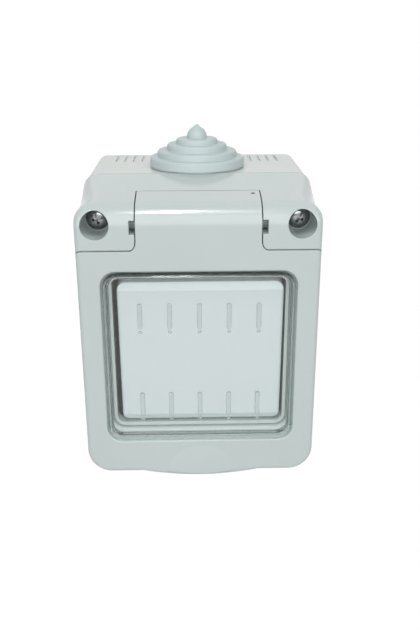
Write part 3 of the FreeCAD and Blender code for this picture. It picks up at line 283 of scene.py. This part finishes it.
# rib flanks and tops tinted grey and part opaque: painted dark outlines of the clear ribs
ribShadeLook = {"tint": (0.50, 0.52, 0.52), "clear": 0.5, "ior": 1.44, "through": (0.93, 0.94, 0.94),
            "glossScale": 900.0, "roughness": (0.16, 0.24),
            "waveScale": 1400.0, "wave": 0.05, "waveDepth": 0.0001}
ribTopShadeLook = {"tint": (0.72, 0.735, 0.735), "clear": 0.9, "roughness": (0.08, 0.14)}
# rim edge tinted dark: painted shade outline round the window
rimShadeLook = {"tint": (0.30, 0.34, 0.33)}
clearMembrane = clearPlastic("clearMembrane", membraneLook)
ribFlankShade = clearPlastic("ribFlankShade", ribShadeLook)
ribTopShade = clearPlastic("ribTopShade", {**ribShadeLook, **ribTopShadeLook})
rimShadeClear = clearPlastic("rimShadeClear", {**membraneLook, **rimShadeLook})
print("materials made:", len(bpy.data.materials))


# mesh helpers
def linkMesh(bm, name):
    bmesh.ops.recalc_face_normals(bm, faces=bm.faces[:])
    mesh = bpy.data.meshes.new(name)
    bm.to_mesh(mesh)
    bm.free()
    item = bpy.data.objects.new(name, mesh)
    scene.collection.objects.link(item)
    return item


def settle(bm, name, material, body, smoothAngle):
    piece = linkMesh(bm, name)
    piece.data.shade_smooth()
    piece.data.set_sharp_from_angle(angle=math.radians(smoothAngle))
    piece.data.materials.append(material)
    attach(piece, body)
    return piece


def roundOff(bm, edges, radius, steps):
    bmesh.ops.bevel(bm, geom=edges, offset=radius, affect="EDGES", segments=steps, profile=0.5, material=-1)


def edgesAt(bm, level):
    return [edge for edge in bm.edges if all(abs(vert.co.y - level) < same for vert in edge.verts)]


def turned(spots, centre, axis, steps):
    # round solid from its half section, which starts and ends on the axis
    bm = bmesh.new()
    line = [bm.verts.new(spot) for spot in spots]
    for first, second in zip(line, line[1:]):
        bm.edges.new((first, second))
    bmesh.ops.spin(bm, geom=bm.verts[:] + bm.edges[:], cent=centre, axis=axis, angle=math.tau, steps=steps,
                   use_merge=True)
    bmesh.ops.remove_doubles(bm, verts=bm.verts[:], dist=1e-6)
    return bm


def roundedSlab(halfSize, depths, corner, cornerSteps, rim=0.0, rimSteps=0):
    # slab in X and Z, its depth measured out from the wall; the front rim can have a round too
    halfX, halfZ = halfSize
    back, front = depths
    bm = bmesh.new()
    bmesh.ops.create_cube(bm, size=1.0)
    bmesh.ops.scale(bm, vec=(2 * halfX, front - back, 2 * halfZ), verts=bm.verts[:])
    bmesh.ops.translate(bm, vec=(0, -(front + back) / 2, 0), verts=bm.verts[:])
    across = [edge for edge in bm.edges if abs(edge.verts[0].co.y - edge.verts[1].co.y) > (front - back) / 2]
    roundOff(bm, across, corner, cornerSteps)
    if rim:
        roundOff(bm, edgesAt(bm, -front), rim, rimSteps)
    return bm


def combine(base, tools):
    # booleans are run through and the tools thrown away, so only the finished mesh stays
    for operation, tool in tools:
        step = base.modifiers.new("step", "BOOLEAN")
        step.operation = operation
        step.object = tool
        step.solver = "EXACT"
    bpy.context.view_layer.update()
    graph = bpy.context.evaluated_depsgraph_get()
    mesh = bpy.data.meshes.new_from_object(base.evaluated_get(graph))
    bm = bmesh.new()
    bm.from_mesh(mesh)
    bpy.data.meshes.remove(mesh)
    for item in [base] + [tool for operation, tool in tools]:
        data = item.data
        bpy.data.objects.remove(item)
        bpy.data.meshes.remove(data)
    bmesh.ops.remove_doubles(bm, verts=bm.verts[:], dist=2e-6)
    return bm


# cable gland: stepped cone, turned from its half section of radius and height in mm
glandLow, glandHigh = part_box("cable_gland")
gland = {"depth": -(glandLow.y + glandHigh.y) / 2 / mm, "turns": 96,
         "section": [(0.0, 51.81), (5.0, 51.81), (5.0, 50.16), (7.95, 50.16), (7.95, 48.18),
                     (11.05, 48.18), (11.05, 45.2), (9.4, 45.2), (9.4, 40.1), (12.6, 40.1),
                     (12.6, 41.7), (10.95, 41.7), (10.95, 44.3), (14.3, 44.3), (14.3, 44.9),
                     (15.0, 44.95), (14.9, 47.8), (12.65, 47.8), (12.5, 49.78), (9.55, 49.78),
                     (9.4, 51.76), (6.6, 51.76), (6.45, 53.41)],
         "ball": 3.15, "ballCentre": 53.76, "ballStart": -6.0, "ballSweep": 64.0, "ballSteps": 6,
         "tip": [(1.45, 56.6), (0.75, 57.1), (0.38, 57.6), (0.0, 57.63)],
         "crest": 0.75, "crestSteps": 5, "crestAngle": 50.0, "crestHeights": (45.3, 53.5), "crestRadius": 6.2}


def makeGland():
    points = list(gland["section"])
    for step in range(gland["ballSteps"] + 1):   # nipple
        angle = math.radians(gland["ballStart"] + gland["ballSweep"] * step / gland["ballSteps"])
        points.append((gland["ball"] * math.cos(angle),
                       gland["ballCentre"] + gland["ball"] * math.sin(angle)))
    points += gland["tip"]
    out = gland["depth"] * mm
    bm = turned([(r * mm, -out, z * mm) for r, z in points], (0, -out, 0), (0, 0, 1), gland["turns"])
    bmesh.ops.recalc_face_normals(bm, faces=bm.faces[:])
    low, high = (height * mm for height in gland["crestHeights"])
    crests = []
    for edge in bm.edges:
        start, end = (vert.co for vert in edge.verts)
        level = abs(start.z - end.z) < same and low < start.z < high
        outside = (start.xy + Vector((0, out))).length > gland["crestRadius"] * mm
        if level and outside and len(edge.link_faces) == 2:
            if edge.calc_face_angle_signed(0.0) > math.radians(gland["crestAngle"]):
                crests.append(edge)
    roundOff(bm, crests, gland["crest"] * mm, gland["crestSteps"])
    piece = settle(bm, "gland", glandRubber, "case", 40.0)
    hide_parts("cable_gland")


makeGland()
print("gland made")


# clear membrane: pane with a soft rim, flange behind the lid wall, ten grip ribs with a pip under each, which
# stands for the shadow under the rib's end as painted shade
windowLow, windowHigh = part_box("lid_window")
window = {"centreZ": (windowLow.z + windowHigh.z) / 2 / mm, "half": (27.95, 26.8), "depths": (59.6, 63.8),
          "corner": 4.4, "cornerSteps": 16, "rim": 1.5, "rimSteps": 12,
          "flangeHalf": (29.8, 28.75), "flangeDepths": (59.6, 60.8), "flangeCorner": 5.9,
          "wall": 1.0, "roomRim": 0.7, "roomRimSteps": 8, "roomOver": 2.0,
          "ribColumns": (-2, -1, 0, 1, 2), "ribRows": (-1, 1), "ribSpacing": 8.65, "ribRow": 14.2,
          "ribWidth": 1.4, "ribLength": 8.0, "ribRise": 0.5, "ribSink": 0.3, "ribSides": 32,
          "ribTop": 0.25, "ribTopSteps": 4,
          "pipDrop": 0.9, "pipRadius": 0.6, "pipRise": 0.35, "pipHeight": 0.75, "pipSink": 0.02,
          "pipSides": (20, 12), "inset": 0.05}
# limits that part the membrane's faces by where they look, and so set where the painted shade of the rib
# flanks and rim edge goes
facing = {"flat": 0.9999, "ribTop": 0.97, "ribStart": 0.03, "rim": 0.75, "rimBelow": 0.35, "below": -0.5}


def gripRib(place, front):
    # upright bar with round ends and a soft top edge, sunk a little into the pane
    half = window["ribWidth"] * mm / 2
    rise, sink = window["ribRise"] * mm, window["ribSink"] * mm
    bm = bmesh.new()
    bmesh.ops.create_cone(bm, cap_ends=True, segments=window["ribSides"], radius1=half, radius2=half,
                          depth=rise + sink)
    # half a step first, so that no point lies on the line where the bar is pulled apart
    for angle, axis in ((180 / window["ribSides"], "Z"), (90, "X")):
        turn = Matrix.Rotation(math.radians(angle), 3, axis)
        bmesh.ops.rotate(bm, cent=(0, 0, 0), matrix=turn, verts=bm.verts[:])
    for vert in bm.verts:
        vert.co.z += math.copysign(window["ribLength"] * mm / 2 - half, vert.co.z)
    outer = min(vert.co.y for vert in bm.verts)
    roundOff(bm, edgesAt(bm, outer), window["ribTop"] * mm, window["ribTopSteps"])
    bmesh.ops.translate(bm, vec=place + Vector((0, -front - (rise - sink) / 2, 0)), verts=bm.verts[:])
    return linkMesh(bm, "rib")


# small tinted bump under a rib: painted shadow of the rib's end
def ribShadowPip(place, front):
    bm = bmesh.new()
    around, along = window["pipSides"]
    bmesh.ops.create_uvsphere(bm, u_segments=around, v_segments=along, radius=window["pipRadius"] * mm)
    flat = window["pipRise"] / window["pipRadius"]
    bmesh.ops.scale(bm, vec=(1.0, flat, window["pipHeight"]), verts=bm.verts[:])
    bmesh.ops.translate(bm, vec=place + Vector((0, window["pipSink"] * mm - front, 0)), verts=bm.verts[:])
    return linkMesh(bm, "shadowPip")


def windowFinish(face, front, flangeFront):
    # 0 clear pane, 1 rib flanks, 2 rib tops, 3 outer edge of the rim, thinner along the bottom; 1 to 3 carry
    # painted shade
    spot, way = face.calc_center_median(), face.normal
    if spot.y < -front - facing["ribStart"] * mm:
        return 1 if abs(way.y) < facing["ribTop"] else 2
    outward = way.x * spot.x + way.z * spot.z > 0
    limit = facing["rimBelow"] if way.z < facing["below"] else facing["rim"]
    return 3 if spot.y < -flangeFront and outward and abs(way.y) < limit else 0


def makeWindow():
    halfX, halfZ = (side * mm for side in window["half"])
    back, front = (depth * mm for depth in window["depths"])
    corner, steps, wall = window["corner"] * mm, window["cornerSteps"], window["wall"] * mm
    bm = roundedSlab((halfX, halfZ), (back, front), corner, steps, window["rim"] * mm, window["rimSteps"])
    pane = linkMesh(bm, "pane")
    flangeHalf = [side * mm for side in window["flangeHalf"]]
    flangeBack, flangeFront = (depth * mm for depth in window["flangeDepths"])
    bm = roundedSlab(flangeHalf, (flangeBack, flangeFront), window["flangeCorner"] * mm, steps)
    flange = linkMesh(bm, "flange")
    roomDepths = (back - window["roomOver"] * mm, front - wall)
    roomCorner = (window["corner"] - window["wall"]) * mm
    bm = roundedSlab((halfX - wall, halfZ - wall), roomDepths, roomCorner, steps, window["roomRim"] * mm,
                     window["roomRimSteps"])
    room = linkMesh(bm, "room")
    grips = []
    for row in window["ribRows"]:
        for column in window["ribColumns"]:
            place = Vector((column * window["ribSpacing"], 0, row * window["ribRow"])) * mm
            grips.append(("UNION", gripRib(place, front)))
            place.z -= (window["ribLength"] / 2 + window["pipDrop"]) * mm
            grips.append(("UNION", ribShadowPip(place, front)))
    bm = combine(pane, [("UNION", flange), ("DIFFERENCE", room)] + grips)
    flat = [face for face in bm.faces if abs(face.normal.y) > facing["flat"]]
    bmesh.ops.inset_region(bm, faces=flat, thickness=window["inset"] * mm, use_boundary=True,
                           use_even_offset=True)
    print("membrane", len(bm.verts), "points")
    bmesh.ops.translate(bm, vec=(0, 0, window["centreZ"] * mm), verts=bm.verts[:])
    bm.normal_update()
    for face in bm.faces:
        face.material_index = windowFinish(face, front, flangeFront)
    piece = settle(bm, "membrane", clearMembrane, "lid", 30.0)
    for material in (ribFlankShade, ribTopShade, rimShadeClear):
        piece.data.materials.append(material)
    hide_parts("lid_window")


makeWindow()
print("membrane made")


# cover screws: pan head, cross recess, threaded shank; radius and depth out from the wall in mm
screwLow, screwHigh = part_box("cover_screws")
headRadius, headTop, shank = 3.5, 54.5, 1.75
screw = {"x": screwHigh.x / mm - headRadius, "z": (screwLow.z + screwHigh.z) / 2 / mm, "turns": 48,
         "sides": [("screwLeft", -1, -14.0), ("screwRight", 1, 31.0)],
         "head": [(0.0, headTop), (1.5, 54.45), (2.4, 54.2), (3.05, 53.75), (3.4, 53.2),
                  (headRadius, 52.7), (headRadius, 52.2), (shank, 52.2)],
         "threadTop": 50.5, "threadEnd": 29.0, "threadPitch": 1.5, "threadCore": 1.3,
         "tip": [(1.5, 28.6), (0.4, 27.3), (0.0, 27.2)],
         "crossDepth": 1.5, "crossOver": 1.0, "crossLength": 3.6, "crossWidth": 0.9, "crossTaper": 0.62}


def crossBar(name, angle):
    bm = bmesh.new()
    bmesh.ops.create_cube(bm, size=1.0)
    deep = screw["crossDepth"] + screw["crossOver"]
    size = (screw["crossLength"] * mm, deep * mm, screw["crossWidth"] * mm)
    bmesh.ops.scale(bm, vec=size, verts=bm.verts[:])
    inner = [vert for vert in bm.verts if vert.co.y > 0]
    bmesh.ops.scale(bm, vec=(screw["crossTaper"], 1.0, screw["crossTaper"]), verts=inner)
    turn = Matrix.Rotation(math.radians(angle), 3, "Y")
    bmesh.ops.rotate(bm, cent=(0, 0, 0), matrix=turn, verts=bm.verts[:])
    middle = headTop - screw["crossDepth"] / 2 + screw["crossOver"] / 2
    bmesh.ops.translate(bm, vec=(0, -middle * mm, 0), verts=bm.verts[:])
    return linkMesh(bm, name + "Bar")


def makeScrew(name, side, twist):
    points = list(screw["head"])
    level = screw["threadTop"]
    while level > screw["threadEnd"]:
        points.append((shank, level))
        points.append((screw["threadCore"], level - screw["threadPitch"] / 2))
        level -= screw["threadPitch"]
    points += screw["tip"]
    bm = turned([(r * mm, -depth * mm, 0) for r, depth in points], (0, 0, 0), (0, 1, 0), screw["turns"])
    body = linkMesh(bm, name + "Body")
    bm = combine(body, [("DIFFERENCE", crossBar(name, angle)) for angle in (0, 90)])
    print(name, len(bm.verts), "points")
    turn = Matrix.Rotation(math.radians(twist), 3, "Y")
    bmesh.ops.rotate(bm, cent=(0, 0, 0), matrix=turn, verts=bm.verts[:])
    bmesh.ops.translate(bm, vec=(side * screw["x"] * mm, 0, screw["z"] * mm), verts=bm.verts[:])
    piece = settle(bm, name, zincSteel, "case", 30.0)
    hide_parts("cover_screws")


for name, side, twist in screw["sides"]:
    makeScrew(name, side, twist)
print("screws made")


# finishes of the solids that are shown as they are
finishes = {"base_box": boxPlastic,
            "front_cover": coverPlastic, "window_retainer": coverPlastic, "hinged_lid": lidPlastic,
            "rocker": rockerPlastic,
            "base_gasket": sealRubber, "lid_seal": paleLitRubber,
            "mechanism_body": blockShadePlastic, "rocker_cradle": blockShadePlastic, "rocker_plunger": blockShadePlastic,
            "plunger_spring": zincSteel, "mechanism_screws": zincSteel, "terminal_screws": zincSteel,
            "terminal_clamps": terminalBrass, "contact_blade": terminalBrass,
            "common_terminal": terminalBrass, "load_terminal": terminalBrass,
            "moving_contact_tip": contactSilver, "fixed_contact_tip": contactSilver}
for name, material in finishes.items():
    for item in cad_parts[name].material_slots:
        item.material = material
print("finishes set:", len(finishes))


# floor, world and lamps
stageLook = {"floorSize": 4.0, "floorGap": 0.0002, "floorColour": (0.62, 0.62, 0.62), "floorRoughness": 0.9,
             "glow": 1.09, "glowShare": 0.9, "fill": 0.2, "aim": (0.0, -0.055, 0.035)}
lampLooks = [{"name": "softbox", "place": (0.0, -1.213, 0.60), "size": (2.2, 1.2), "power": 15.4},
             {"name": "topBox", "place": (0.0, 0.50, 0.66), "size": (1.2, 0.8), "power": 1.3},
             {"name": "strip", "place": (-0.028, -0.298, 0.589), "size": (0.058, 0.20), "power": 0.68},
             {"name": "stripEnd", "place": (0.036, -0.298, 0.589), "size": (0.07, 0.20), "power": 0.14}]
white = (1.0, 1.0, 1.0, 1.0)


def seenDirect(tree):
    # 1 for what the camera sees, straight or in a mirror or through something clear
    path = addNode(tree, "ShaderNodeLightPath")
    total = path.outputs["Is Camera Ray"]
    for name in ("Is Glossy Ray", "Is Transmission Ray"):
        step = addNode(tree, "ShaderNodeMath", operation="MAXIMUM")
        wire(tree, total, step.inputs[0])
        wire(tree, path.outputs[name], step.inputs[1])
        total = step.outputs["Value"]
    return total


def makeFloor():
    bm = bmesh.new()
    bmesh.ops.create_grid(bm, x_segments=2, y_segments=2, size=stageLook["floorSize"] / 2)
    bmesh.ops.translate(bm, vec=(0, 0, cadBox[0].z - stageLook["floorGap"]), verts=bm.verts[:])
    mesh = bpy.data.meshes.new("floor")
    bm.to_mesh(mesh)
    bm.free()
    floor = bpy.data.objects.new("floor", mesh)
    scene.collection.objects.link(floor)
    material, tree, shader = startMaterial("floorPaper")
    shader.inputs["Base Color"].default_value = (*stageLook["floorColour"], 1.0)
    shader.inputs["Roughness"].default_value = stageLook["floorRoughness"]
    glow = addNode(tree, "ShaderNodeEmission", {"Color": white, "Strength": stageLook["glow"]})
    share = addNode(tree, "ShaderNodeMath", {1: stageLook["glowShare"]}, operation="MULTIPLY")
    wire(tree, seenDirect(tree), share.inputs[0])
    mix = addNode(tree, "ShaderNodeMixShader")
    wire(tree, share.outputs["Value"], mix.inputs[0])
    wire(tree, shader.outputs["BSDF"], mix.inputs[1])
    wire(tree, glow.outputs["Emission"], mix.inputs[2])
    wire(tree, mix.outputs["Shader"], tree.nodes["Material Output"].inputs["Surface"])
    mesh.materials.append(material)


def makeWorld():
    world = bpy.data.worlds.new("studio")
    world.use_nodes = True
    tree = world.node_tree
    light = tree.nodes["Background"]
    light.inputs["Color"].default_value = white
    light.inputs["Strength"].default_value = stageLook["fill"]
    backdrop = addNode(tree, "ShaderNodeBackground", {"Color": white, "Strength": 1.0})
    mix = addNode(tree, "ShaderNodeMixShader")
    wire(tree, seenDirect(tree), mix.inputs[0])
    wire(tree, light.outputs["Background"], mix.inputs[1])
    wire(tree, backdrop.outputs["Background"], mix.inputs[2])
    wire(tree, mix.outputs["Shader"], tree.nodes["World Output"].inputs["Surface"])
    scene.world = world


def makeLamp(look):
    data = bpy.data.lights.new(look["name"], "AREA")
    data.shape = "RECTANGLE"
    data.size, data.size_y = look["size"]
    data.energy = look["power"]
    lamp = bpy.data.objects.new(look["name"], data)
    lamp.location = look["place"]
    way = Vector(stageLook["aim"]) - lamp.location
    lamp.rotation_euler = way.to_track_quat("-Z", "Y").to_euler()
    scene.collection.objects.link(lamp)


makeFloor()
makeWorld()
for look in lampLooks:
    makeLamp(look)

# camera at the photograph's place, in mm and degrees
lens = {"place": (-2.05, -272.0, 87.86), "tilt": 69.1, "yaw": -1.41, "roll": -0.13,
        "focal": 43.94, "near": 10.0}
view = bpy.data.cameras.new("camera")
view.lens = lens["focal"]
view.clip_start = lens["near"] * mm
camera = bpy.data.objects.new("camera", view)
camera.location = Vector(lens["place"]) * mm
turn = Euler((math.radians(lens["tilt"]), 0, math.radians(lens["yaw"]))).to_matrix()
camera.rotation_euler = (turn @ Matrix.Rotation(math.radians(lens["roll"]), 3, "Z")).to_euler()
scene.collection.objects.link(camera)
scene.camera = camera
scene.view_settings.view_transform = "Standard"
print("stage and camera set")
